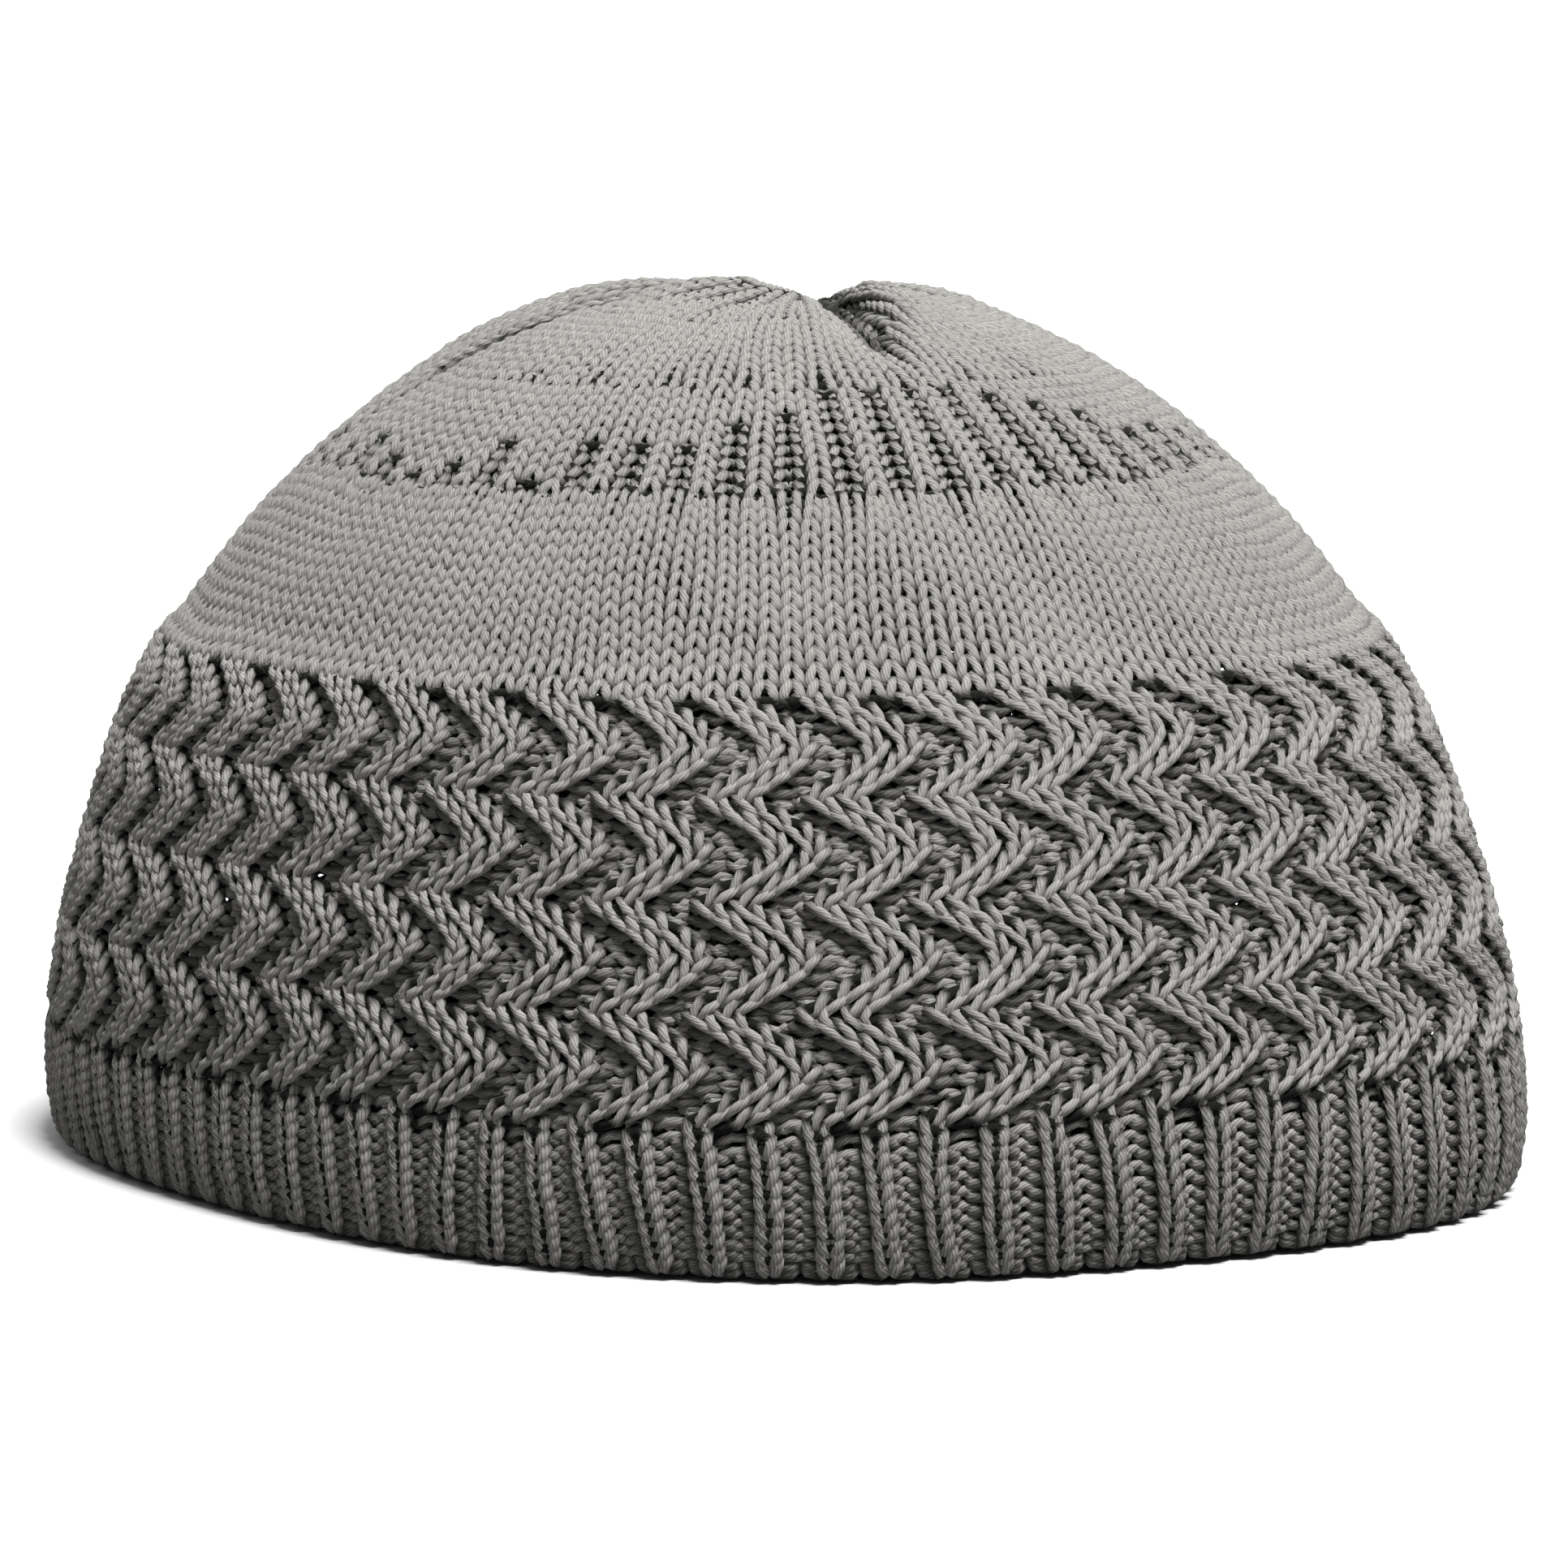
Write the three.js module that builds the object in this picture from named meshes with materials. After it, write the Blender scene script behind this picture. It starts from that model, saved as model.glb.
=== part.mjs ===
// A knitted kufi: a brimless cap, knitted as one tube from the rim up and drawn together at the top.
// The wall is built as four closed rings, one for each kind of stitch: the ribbed brim, the zigzag band,
// the plain crown and the gathered top. Lengths are in millimetres. +Z is up, the front of the cap faces -Y,
// and the rim rests on z = 0.

import * as THREE from 'three';

// ---- Driving dimensions ----

const HALF_LENGTH = 96; // front to back, at the widest course
const HALF_WIDTH = 78.4; // side to side, at the widest course
const SQUARENESS = 2.45; // power of the rim's oval, where 2 is an ellipse
const TOP_WIDTH_RATIO = 0.91; // width over length of the oval near the top, which is rounder

const CAP_HEIGHT = 106.3; // of the dome before its centre is dented
const WIDEST_HEIGHT = 9.7; // of the widest course
const RIM_TUCK = 0.018; // how much smaller the rim is than the widest course
const RISE_POWER = 1.78; // the dome's side view follows rise^RISE_POWER + reach^REACH_POWER = 1
const REACH_POWER = 2.03;

const BRIM_LENGTH = 17.9; // lengths are measured along the fabric, up from the rim
const ZIGZAG_LENGTH = 49.1;
const CROWN_LENGTH = 44.9;
const FIRST_DECREASE = 27.1; // above the zigzags, where three stitches become two
const ZONE_GAP = 0.3;
const COURSE_TILT = 1.9; // the courses climb this much towards TILT_ANGLE, and sink as much on the other side
const TILT_ANGLE = -31;

const RIBS = 84;
const RIB_LEAN = 0.45; // how far a rib leans over the height of the brim, in stitches
const RIB_RELIEF = 1.2; // from the crest of a rib to the valley beside it
const BRIM_THICKNESS = 3.4;

const ZIGZAGS = 42; // round the band, each two raised and two sunk stitches
const WAVES = 4; // up the band
const SWAY = 2.5; // how far a zigzag swings sideways, in stitches
const ZIGZAG_RELIEF = 1.2;
const BAND_THICKNESS = 3.2;
const BAND_STEP = 1.3; // how far the band's stiffer top edge stands out from the crown

const DECREASE_GROUPS = 52;
const LADDER_RELIEF = 0.45; // the groove between the groups above the first decrease
const CROWN_THICKNESS = 2.4;
const TOP_THICKNESS = 2.8;

const GATHER = { x: 3.0, y: -4.1, reach: 0.42 }; // where the top is drawn together, and how far that is felt
const DENTS = [
  { name: 'gathered pit', depth: 2.6, radius: 5.5 },
  { name: 'soft hollow round it', depth: 1.4, radius: 16 },
];

// Soft folds that the gathering leaves. angle is round the gather, from +X in degrees. near and far are
// distances from the gather, between which the fold runs. rise is negative for a crease.
const FOLDS = [
  { name: 'front crease', angle: -104, near: 3, far: 31, width: 2.8, rise: -3.0 },
  { name: 'front lip', angle: -86, near: 5, far: 24, width: 4.5, rise: 1.7 },
  { name: 'left crease', angle: 149, near: 20, far: 52, width: 3.8, rise: -2.6 },
  { name: 'left lip', angle: 128, near: 18, far: 54, width: 5.5, rise: 1.3 },
  { name: 'left knuckle', angle: 160, near: 5, far: 20, width: 5.0, rise: 1.2 },
  { name: 'right knuckle', angle: -34, near: 5, far: 20, width: 4.5, rise: 0.9 },
  { name: 'back crease', angle: 60, near: 3, far: 30, width: 4.2, rise: -2.6 },
  { name: 'back dip', angle: 104, near: 6, far: 30, width: 5.0, rise: -0.7 },
  { name: 'side crease', angle: 12, near: 8, far: 28, width: 3.2, rise: -1.4 },
  { name: 'front left crease', angle: -150, near: 10, far: 34, width: 3.6, rise: -0.7 },
];

const YARN_GREY = 0x9b9994;

// ---- The form of the cap ----

const radians = THREE.MathUtils.degToRad;
const lerp = THREE.MathUtils.lerp;
const clamp = THREE.MathUtils.clamp;
const smooth = (value, low, high) => THREE.MathUtils.smoothstep(value, low, high);

// Distance from the centre to an oval's edge, in the direction of an angle.
function ovalRadius(angle, halfWidth, halfLength, power) {
  const across = Math.abs(Math.cos(angle) / halfWidth) ** power;
  const along = Math.abs(Math.sin(angle) / halfLength) ** power;
  return (across + along) ** (-1 / power);
}

// The value of a table's column at a place on another column that rises.
function lookUp(table, place, key, value) {
  const last = table.length - 1;
  const next = table.findIndex((row) => row[key] >= place);
  if (next <= 0) return next === 0 ? table[0][value] : table[last][value];
  const low = table[next - 1];
  const high = table[next];
  return lerp(low[value], high[value], (place - low[key]) / (high[key] - low[key]));
}

// Side view of the cap, from the rim to the top: reach is 1 at the widest course and 0 at the centre.
function sideView() {
  const steps = 240;
  const meanRadius = Math.sqrt(HALF_LENGTH * HALF_WIDTH);
  const rows = [];
  for (let i = 0; i <= steps; i += 1) {
    const height = (WIDEST_HEIGHT * i) / steps;
    rows.push({ height, reach: 1 - RIM_TUCK * (1 - i / steps) ** 2 });
  }
  for (let i = 1; i <= steps; i += 1) {
    const turn = ((Math.PI / 2) * i) / steps;
    const rise = Math.sin(turn) ** (2 / RISE_POWER);
    const reach = Math.max(Math.cos(turn), 0) ** (2 / REACH_POWER);
    rows.push({ height: lerp(WIDEST_HEIGHT, CAP_HEIGHT, rise), reach });
  }
  rows[0].length = 0;
  for (let i = 1; i < rows.length; i += 1) {
    const out = (rows[i].reach - rows[i - 1].reach) * meanRadius;
    rows[i].length = rows[i - 1].length + Math.hypot(out, rows[i].height - rows[i - 1].height);
  }
  return rows;
}

// Angles round the cap that share the rim out evenly: turn goes from 0 to 1.
function evenTurns() {
  const steps = 720;
  const rows = [{ angle: 0, turn: 0 }];
  const rim = (angle) => {
    const radius = ovalRadius(angle, HALF_WIDTH, HALF_LENGTH, SQUARENESS);
    return new THREE.Vector2(radius * Math.cos(angle), radius * Math.sin(angle));
  };
  for (let i = 1; i <= steps; i += 1) {
    const angle = (2 * Math.PI * i) / steps;
    const step = rim(angle).distanceTo(rim(rows[i - 1].angle));
    rows.push({ angle, turn: rows[i - 1].turn + step });
  }
  const total = rows[steps].turn;
  return rows.map((row) => ({ angle: row.angle, turn: row.turn / total }));
}

const SIDE_VIEW = sideView();
const EVEN_TURNS = evenTurns();
const FABRIC_LENGTH = SIDE_VIEW[SIDE_VIEW.length - 1].length;

// How far the dent and the folds move the fabric up, at a place seen from above.
function foldRise(x, y) {
  const fromGather = new THREE.Vector2(x - GATHER.x, y - GATHER.y);
  const distance = fromGather.length();
  let rise = 0;
  for (const dent of DENTS) rise -= dent.depth * Math.exp(-((distance / dent.radius) ** 2));
  for (const fold of FOLDS) {
    const aside = Math.atan2(y - GATHER.y, x - GATHER.x) - radians(fold.angle);
    const across = Math.cos(aside) > 0 ? distance * Math.sin(aside) : Infinity;
    const along = smooth(distance, fold.near * 0.5, fold.near * 1.5 + 1)
      * (1 - smooth(distance, fold.far * 0.75, fold.far * 1.25));
    rise += fold.rise * along * Math.exp(-((across / fold.width) ** 2));
  }
  return rise;
}

// A point of the outer face, turn of the way round and length up the fabric.
function outerPoint(turn, length) {
  const angle = lookUp(EVEN_TURNS, turn - Math.floor(turn), 'turn', 'angle');
  const level = lookUp(SIDE_VIEW, length, 'length', 'reach');
  const lift = COURSE_TILT * smooth(length, 0, BRIM_LENGTH) * level * Math.cos(angle - radians(TILT_ANGLE));
  const place = clamp(length + lift, 0, FABRIC_LENGTH);
  const reach = lookUp(SIDE_VIEW, place, 'length', 'reach');
  const height = lookUp(SIDE_VIEW, place, 'length', 'height');
  const climb = (height / CAP_HEIGHT) ** 2;
  const halfWidth = lerp(HALF_WIDTH, HALF_LENGTH * TOP_WIDTH_RATIO, climb);
  const oval = ovalRadius(angle, halfWidth, HALF_LENGTH, lerp(SQUARENESS, 2, climb));
  const edge = BRIM_LENGTH + ZIGZAG_LENGTH;
  const step = smooth(length, edge - 28, edge - 4) * (1 - smooth(length, edge - 0.5, edge + 4));
  const radius = reach * oval + BAND_STEP * step;
  const pull = clamp(1 - reach / GATHER.reach, 0, 1) ** 2;
  const x = radius * Math.cos(angle) + GATHER.x * pull;
  const y = radius * Math.sin(angle) + GATHER.y * pull;
  return new THREE.Vector3(x, y, height + foldRise(x, y));
}

// The same point, sunk into the wall at right angles to the outer face.
function wallPoint(turn, length, depth) {
  const turnStep = 0.002;
  const lengthStep = 0.4;
  const centre = outerPoint(turn, length);
  if (depth === 0) return centre;
  const low = Math.min(length, FABRIC_LENGTH - 2 * lengthStep);
  const round = outerPoint(turn + turnStep, low).sub(outerPoint(turn - turnStep, low));
  const up = outerPoint(turn, low + lengthStep).sub(outerPoint(turn, Math.max(low - lengthStep, 0)));
  const outward = round.cross(up).normalize();
  return centre.addScaledVector(outward, -depth);
}

// ---- Walls ----

// Joins rings of points into triangles. A ring of one point is a pole. The last ring joins the first.
function joinRings(rings) {
  const positions = [];
  const starts = [];
  for (const ring of rings) {
    starts.push(positions.length / 3);
    for (const point of ring) positions.push(point.x, point.y, point.z);
  }
  const triangles = [];
  rings.forEach((ring, k) => {
    const next = (k + 1) % rings.length;
    const columns = Math.max(ring.length, rings[next].length);
    if (columns === 1) return;
    const at = (ringIndex, column) => starts[ringIndex] + (column % rings[ringIndex].length);
    for (let c = 0; c < columns; c += 1) {
      if (ring.length > 1) triangles.push(at(k, c), at(k, c + 1), at(next, c + 1));
      if (rings[next].length > 1) triangles.push(at(k, c), at(next, c + 1), at(next, c));
    }
  });
  const geometry = new THREE.BufferGeometry();
  geometry.setAttribute('position', new THREE.Float32BufferAttribute(positions, 3));
  geometry.setIndex(triangles);
  geometry.computeVertexNormals();
  return geometry;
}

function ringOf(columns, pointAt) {
  return Array.from({ length: columns }, (unused, column) => pointAt(column));
}

function knitted(name, geometry, roughness) {
  const material = new THREE.MeshStandardMaterial({ color: YARN_GREY, roughness, metalness: 0 });
  const mesh = new THREE.Mesh(geometry, material);
  mesh.name = name;
  return mesh;
}

// The ribbed brim: even columns are the crests of the ribs, and odd ones the valleys between them.
// On the inner face the valleys stand out instead, as they do in knit-one purl-one ribbing.
function ribbedBrim() {
  const top = BRIM_LENGTH - ZONE_GAP / 2;
  const innerCrest = BRIM_THICKNESS - RIB_RELIEF;
  const section = [
    { length: 0, crest: 0.5, valley: RIB_RELIEF + 0.3 },
    { length: 5, crest: 0, valley: RIB_RELIEF },
    { length: top, crest: 0, valley: RIB_RELIEF },
    { length: top, crest: innerCrest, valley: BRIM_THICKNESS },
    { length: 5, crest: innerCrest, valley: BRIM_THICKNESS },
    { length: 0, crest: innerCrest - 0.3, valley: BRIM_THICKNESS - 0.5 },
  ];
  const columns = 2 * RIBS;
  const rings = section.map(({ length, crest, valley }) => ringOf(columns, (column) => {
    const lean = RIB_LEAN * (1 - length / BRIM_LENGTH);
    const point = wallPoint((column + lean) / columns, length, column % 2 ? valley : crest);
    if (length === 0) point.z = 0;
    return point;
  }));
  return knitted('ribbed_brim', joinRings(rings), 0.92);
}

// The zigzag band: in every four columns two are raised and two sunk, and all of them swing sideways
// together, once each way in every wave.
function zigzagBand() {
  const bottom = BRIM_LENGTH + ZONE_GAP / 2;
  const top = BRIM_LENGTH + ZIGZAG_LENGTH - ZONE_GAP / 2;
  const halfWaves = 2 * WAVES;
  const columns = 4 * ZIGZAGS;
  const ring = (halfWave, raised, sunk) => ringOf(columns, (column) => {
    const sway = halfWave % 2 ? SWAY : 0;
    const length = lerp(top, bottom, halfWave / halfWaves);
    return wallPoint((column + sway) / columns, length, column % 4 < 2 ? raised : sunk);
  });
  const outer = [];
  for (let halfWave = halfWaves; halfWave >= 0; halfWave -= 1) outer.push(ring(halfWave, 0, ZIGZAG_RELIEF));
  const inner = [];
  for (let halfWave = 0; halfWave <= halfWaves; halfWave += 2) {
    inner.push(ring(halfWave, BAND_THICKNESS - 0.4, BAND_THICKNESS));
  }
  return knitted('zigzag_band', joinRings([...outer, ...inner]), 0.92);
}

// The plain crown: smooth at first. Above the first decrease a shallow groove runs up between the groups.
function plainCrown() {
  const bottom = BRIM_LENGTH + ZIGZAG_LENGTH + ZONE_GAP / 2;
  const top = BRIM_LENGTH + ZIGZAG_LENGTH + CROWN_LENGTH - ZONE_GAP / 2;
  const decrease = BRIM_LENGTH + ZIGZAG_LENGTH + FIRST_DECREASE;
  const columns = 2 * DECREASE_GROUPS;
  const ring = (length, depth, groove) => ringOf(columns, (column) => (
    wallPoint(column / columns, length, column % 2 ? depth + groove : depth)
  ));
  const outer = [
    ...[0, 1, 2, 3].map((step) => ring(lerp(bottom, decrease, step / 3), 0, 0)),
    ring(decrease + 2, 0, LADDER_RELIEF),
    ring(lerp(decrease, top, 0.55), 0, LADDER_RELIEF * 0.6),
    ring(top, 0, 0),
  ];
  const inner = [4, 3, 2, 1, 0].map((step) => ring(lerp(bottom, top, step / 4), CROWN_THICKNESS, 0));
  return knitted('plain_crown', joinRings([...outer, ...inner]), 0.9);
}

// The gathered top: a dished disc of fabric with folds that run in to the gather.
function gatheredTop() {
  const edge = BRIM_LENGTH + ZIGZAG_LENGTH + CROWN_LENGTH + ZONE_GAP / 2;
  const ring = (step, steps, depth) => {
    const columns = step === steps ? 1 : DECREASE_GROUPS;
    const length = lerp(edge, FABRIC_LENGTH, step / steps);
    return ringOf(columns, (column) => wallPoint(column / columns, length, depth));
  };
  const outer = [0, 1, 2, 3, 4, 5, 6, 7, 8].map((step) => ring(step, 8, 0));
  const inner = [6, 5, 4, 3, 2, 1, 0].map((step) => ring(step, 6, TOP_THICKNESS));
  return knitted('gathered_top', joinRings([...outer, ...inner]), 0.9);
}

const cap = new THREE.Group();
cap.add(ribbedBrim(), zigzagBand(), plainCrown(), gatheredTop());

export default cap;
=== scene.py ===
# %% [markdown]
# # A knitted kufi cap
#
# This lesson dresses a plain model of a knitted cap with real stitches. The cap is one tube of fabric,
# knitted from the rim up in one plied yarn: a ribbed brim, a band of raised zigzags, a plain crown and a
# gathered top. Every stitch here is a loop of yarn that crosses the loops above and below it, because a cap
# this coarse shows its yarn from every side, and a flat bump pattern would give itself away at the edges.

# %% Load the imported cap
import math

import bpy
import numpy as np
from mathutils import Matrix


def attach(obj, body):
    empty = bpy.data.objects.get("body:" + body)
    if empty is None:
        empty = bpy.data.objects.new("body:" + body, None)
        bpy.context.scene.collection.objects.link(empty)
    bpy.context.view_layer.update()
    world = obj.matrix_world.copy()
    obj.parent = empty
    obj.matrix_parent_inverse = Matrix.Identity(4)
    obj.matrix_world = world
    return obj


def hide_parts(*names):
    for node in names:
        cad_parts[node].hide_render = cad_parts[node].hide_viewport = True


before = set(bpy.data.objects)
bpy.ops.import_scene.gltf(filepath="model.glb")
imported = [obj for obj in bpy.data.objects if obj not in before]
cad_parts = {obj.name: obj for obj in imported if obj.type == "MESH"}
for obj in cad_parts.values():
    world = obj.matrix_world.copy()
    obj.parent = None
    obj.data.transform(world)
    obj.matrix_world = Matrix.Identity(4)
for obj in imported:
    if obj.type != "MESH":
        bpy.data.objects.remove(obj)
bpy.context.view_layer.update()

# %% [markdown]
# ## The sizes of the cap
#
# The sizes are those of the plain model, in millimetres, so the stitches land on its surface. Two kinds
# of numbers describe a knitted tube: the form that it stretches over, and the counts of stitches round
# and courses up. Keeping both as named values lets a reader change one and see what follows.

# %% Name the sizes
MM = 0.001  # Blender works in metres

HALF_LENGTH, HALF_WIDTH = 96.0, 78.4  # front to back is +Y
SQUARENESS, TOP_WIDTH_RATIO = 2.45, 0.91  # power of the rim's oval, and width over length near the top
CAP_HEIGHT, WIDEST_HEIGHT = 106.3, 9.7
RIM_TUCK = 0.018  # how much smaller the rim is than the widest course
RISE_POWER, REACH_POWER = 1.78, 2.03  # the side view follows rise^RISE_POWER + reach^REACH_POWER = 1

BRIM_LENGTH, ZIGZAG_LENGTH, CROWN_LENGTH = 17.9, 49.1, 44.9  # along the fabric, from the rim up
FIRST_DECREASE = 27.1  # above the zigzags
COURSE_TILT, TILT_ANGLE = 1.9, -31.0  # the courses climb this much towards this side

RIB_LEAN = 0.45  # in stitches, over the height of the brim
SWAY, WAVES = 2.5, 4  # how far a zigzag swings, in stitches, and how often
STITCHES = 168  # round the brim and the zigzags
GROUPS = 52  # of three stitches, then two, all round the crown
BAND_STEP = 1.3  # the band's top edge stands out this much
STEP_PLACES = (-28, -4, -0.5, 4)  # from that edge: the step begins, is full, begins to end and has ended

GATHER_X, GATHER_Y, GATHER_REACH = 3.0, -4.1, 0.42
DENTS = [(2.6, 5.5), (1.4, 16.0)]  # depth and radius
FOLDS = [  # angle round the gather, near, far, width, rise
    (-104, 3, 31, 2.8, -3.0),
    (-86, 5, 24, 4.5, 1.7),
    (149, 20, 52, 3.8, -2.6),
    (128, 18, 54, 5.5, 1.3),
    (160, 5, 20, 5.0, 1.2),
    (-34, 5, 20, 4.5, 0.9),
    (60, 3, 30, 4.2, -2.6),
    (104, 6, 30, 5.0, -0.7),
    (12, 8, 28, 3.2, -1.4),
    (-150, 10, 34, 3.6, -0.7),
]
print("brim, zigzag and crown lengths:", BRIM_LENGTH, ZIGZAG_LENGTH, CROWN_LENGTH)

# %% [markdown]
# ## The form under the stitches
#
# A knitter blocks a damp cap over a form. This form is the same: a dome with an oval plan, written as a
# formula of two numbers, how far round (turn, from 0 to 1) and how far up along the fabric (length). It
# could be sculpted, but a formula gives each stitch an exact place and leaves even rows.

# %% Write the form as formulas
def smooth_step(value, low, high):
    t = np.clip((value - low) / (high - low), 0.0, 1.0)
    return t * t * (3.0 - 2.0 * t)


def oval_radius(angle, half_width, half_length, power):
    across = np.abs(np.cos(angle) / half_width) ** power
    along = np.abs(np.sin(angle) / half_length) ** power
    return (across + along) ** (-1.0 / power)


def side_view(steps=240):
    """Height, reach and length along the fabric, from the rim to the top."""
    low = np.linspace(0.0, 1.0, steps + 1)
    turn = np.linspace(0.0, np.pi / 2, steps + 1)[1:]
    dome = WIDEST_HEIGHT + (CAP_HEIGHT - WIDEST_HEIGHT) * np.sin(turn) ** (2 / RISE_POWER)
    height = np.concatenate([WIDEST_HEIGHT * low, dome])
    reach = np.concatenate([1 - RIM_TUCK * (1 - low) ** 2, np.cos(turn).clip(0) ** (2 / REACH_POWER)])
    steps_out = np.diff(reach) * math.sqrt(HALF_LENGTH * HALF_WIDTH)
    length = np.concatenate([[0.0], np.cumsum(np.hypot(steps_out, np.diff(height)))])
    return height, reach, length


def even_turns(steps=720):
    """Angles that share the rim out evenly, so that stitches are as wide at the sides as in front."""
    angle = np.linspace(0.0, 2 * np.pi, steps + 1)
    radius = oval_radius(angle, HALF_WIDTH, HALF_LENGTH, SQUARENESS)
    rim = np.stack([radius * np.cos(angle), radius * np.sin(angle)], axis=1)
    walked = np.concatenate([[0.0], np.cumsum(np.linalg.norm(np.diff(rim, axis=0), axis=1))])
    return angle, walked / walked[-1]


SIDE_HEIGHT, SIDE_REACH, SIDE_LENGTH = side_view()
TURN_ANGLE, TURN_SHARE = even_turns()
FABRIC_LENGTH = SIDE_LENGTH[-1]
print("length of fabric from rim to centre:", round(FABRIC_LENGTH, 1), "mm")

# %% [markdown]
# ## The dents and folds of the top
#
# Where a knitted top is drawn together it dents and falls into soft folds. They could be simulated as
# cloth, but then they would not lie where the plain model has them. So each dent is a bell-shaped hollow
# round the gather, and each fold is a valley or a ridge that leaves the gather at an angle.

# %% Add the dents and folds of the gathered top
FADE_IN, FADE_OUT = (0.5, 1.5), (0.75, 1.25)  # a fold fades over these shares of its near and far ends
FAR_AWAY = 1e6


def from_gather(x, y):
    """Distance from the gather, and direction round it."""
    return np.hypot(x - GATHER_X, y - GATHER_Y), np.arctan2(y - GATHER_Y, x - GATHER_X)


def beside_line(distance, direction, angle):
    """How far a place is beside a line that leaves the gather at this angle. Behind its start it is far."""
    aside = direction - math.radians(angle)
    return np.where(np.cos(aside) > 0, distance * np.sin(aside), FAR_AWAY)


def bell(away, width):
    return np.exp(-((away / width) ** 2))


def fold_rise(x, y):
    distance, direction = from_gather(x, y)
    rise = np.zeros_like(distance)
    for depth, radius in DENTS:
        rise -= depth * bell(distance, radius)
    for angle, near, far, width, height in FOLDS:
        along = smooth_step(distance, near * FADE_IN[0], near * FADE_IN[1] + 1)
        along *= 1 - smooth_step(distance, far * FADE_OUT[0], far * FADE_OUT[1])
        rise += height * along * bell(beside_line(distance, direction, angle), width)
    return rise


def outer_points(turn, length):
    """Places on the outer face, in millimetres."""
    angle = np.interp(turn - np.floor(turn), TURN_SHARE, TURN_ANGLE)
    level = np.interp(length, SIDE_LENGTH, SIDE_REACH)
    lift = COURSE_TILT * smooth_step(length, 0, BRIM_LENGTH) * level
    place = np.clip(length + lift * np.cos(angle - math.radians(TILT_ANGLE)), 0, FABRIC_LENGTH)
    reach = np.interp(place, SIDE_LENGTH, SIDE_REACH)
    height = np.interp(place, SIDE_LENGTH, SIDE_HEIGHT)
    climb = (height / CAP_HEIGHT) ** 2
    half_width = HALF_WIDTH + (HALF_LENGTH * TOP_WIDTH_RATIO - HALF_WIDTH) * climb
    power = SQUARENESS + (2 - SQUARENESS) * climb
    begins, full, leaves, ended = (BRIM_LENGTH + ZIGZAG_LENGTH + away for away in STEP_PLACES)
    step = smooth_step(length, begins, full) * (1 - smooth_step(length, leaves, ended))
    radius = reach * oval_radius(angle, half_width, HALF_LENGTH, power) + BAND_STEP * step
    pull = np.clip(1 - reach / GATHER_REACH, 0, 1) ** 2
    x = radius * np.cos(angle) + GATHER_X * pull
    y = radius * np.sin(angle) + GATHER_Y * pull
    return np.stack([x, y, height + fold_rise(x, y)], axis=-1)


print("front centre of the brim:", outer_points(np.array([0.75]), np.array([9.0])).round(1))

# %% [markdown]
# ## The form as a chart
#
# The form becomes a mesh of fine squares. Its UV map is the knitter's chart: turn runs across and length
# runs up. Geometry Nodes can then look up the place of any stitch on the chart. The form is a helper, so
# it is deleted once the knitting is done.

# %% Make the form
SMALL_TURN, SMALL_LENGTH = 0.002, 0.4  # steps to either side, from which a direction is measured


def outward(turn, length):
    """The direction straight out of the fabric."""
    low = np.clip(length, SMALL_LENGTH, FABRIC_LENGTH - 2 * SMALL_LENGTH)
    round_it = outer_points(turn + SMALL_TURN, low) - outer_points(turn - SMALL_TURN, low)
    up_it = outer_points(turn, low + SMALL_LENGTH) - outer_points(turn, low - SMALL_LENGTH)
    normal = np.cross(round_it, up_it)
    return normal / np.linalg.norm(normal, axis=-1, keepdims=True)


def add_object(name, data):
    item = bpy.data.objects.new(name, data)
    bpy.context.collection.objects.link(item)
    return item


def make_form(columns=336, rows=300):
    turn, length = np.meshgrid(np.linspace(0, 1, columns + 1), np.linspace(0, FABRIC_LENGTH, rows + 1))
    mesh = bpy.data.meshes.new("form")
    corner = np.arange(rows)[:, None] * (columns + 1) + np.arange(columns)[None, :]
    faces = np.stack([corner, corner + 1, corner + columns + 2, corner + columns + 1], axis=-1)
    places = outer_points(turn, length).reshape(-1, 3) * MM
    mesh.from_pydata(places.tolist(), [], faces.reshape(-1, 4).tolist())
    chart = np.stack([turn.ravel(), length.ravel() / FABRIC_LENGTH], axis=1)
    uv = mesh.uv_layers.new(name="chart")
    uv.data.foreach_set("uv", chart[faces.ravel()].astype(np.float32).ravel())
    way_out = mesh.attributes.new("outward", "FLOAT_VECTOR", "POINT")
    way_out.data.foreach_set("vector", outward(turn, length).astype(np.float32).ravel())
    return add_object("form", mesh)


form = make_form()
print("form:", len(form.data.vertices), "points")

# %% [markdown]
# ## Nodes that read like sums
#
# The path of a knitted loop is a formula of sines and cosines. A node tree can hold such a formula, but
# placing each Math node by hand hides it. This small class lets Python's own plus and times signs add
# the Math nodes, so that the formula can be read in the code and still runs in the tree.

# %% Write a helper for node trees
class Wire:
    """One output of a node, which can be used in a sum."""

    def __init__(self, tree, socket):
        self.tree, self.socket = tree, socket

    def math(self, operation, *others, swapped=False):
        node = self.tree.nodes.new("ShaderNodeMath")
        node.operation = operation
        values = [self, *others]
        if swapped:
            values.reverse()
        for slot, value in zip(node.inputs, values):
            join(self.tree, value, slot)
        return Wire(self.tree, node.outputs[0])

    def clamp(self, low, high):
        return self.math("MAXIMUM", low).math("MINIMUM", high)

    def __add__(self, other):
        return self.math("ADD", other)

    def __sub__(self, other):
        return self.math("SUBTRACT", other)

    def __rsub__(self, other):
        return self.math("SUBTRACT", other, swapped=True)

    def __mul__(self, other):
        return self.math("MULTIPLY", other)

    def __truediv__(self, other):
        return self.math("DIVIDE", other)

    def __pow__(self, other):
        return self.math("POWER", other)

    __radd__ = __add__


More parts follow.
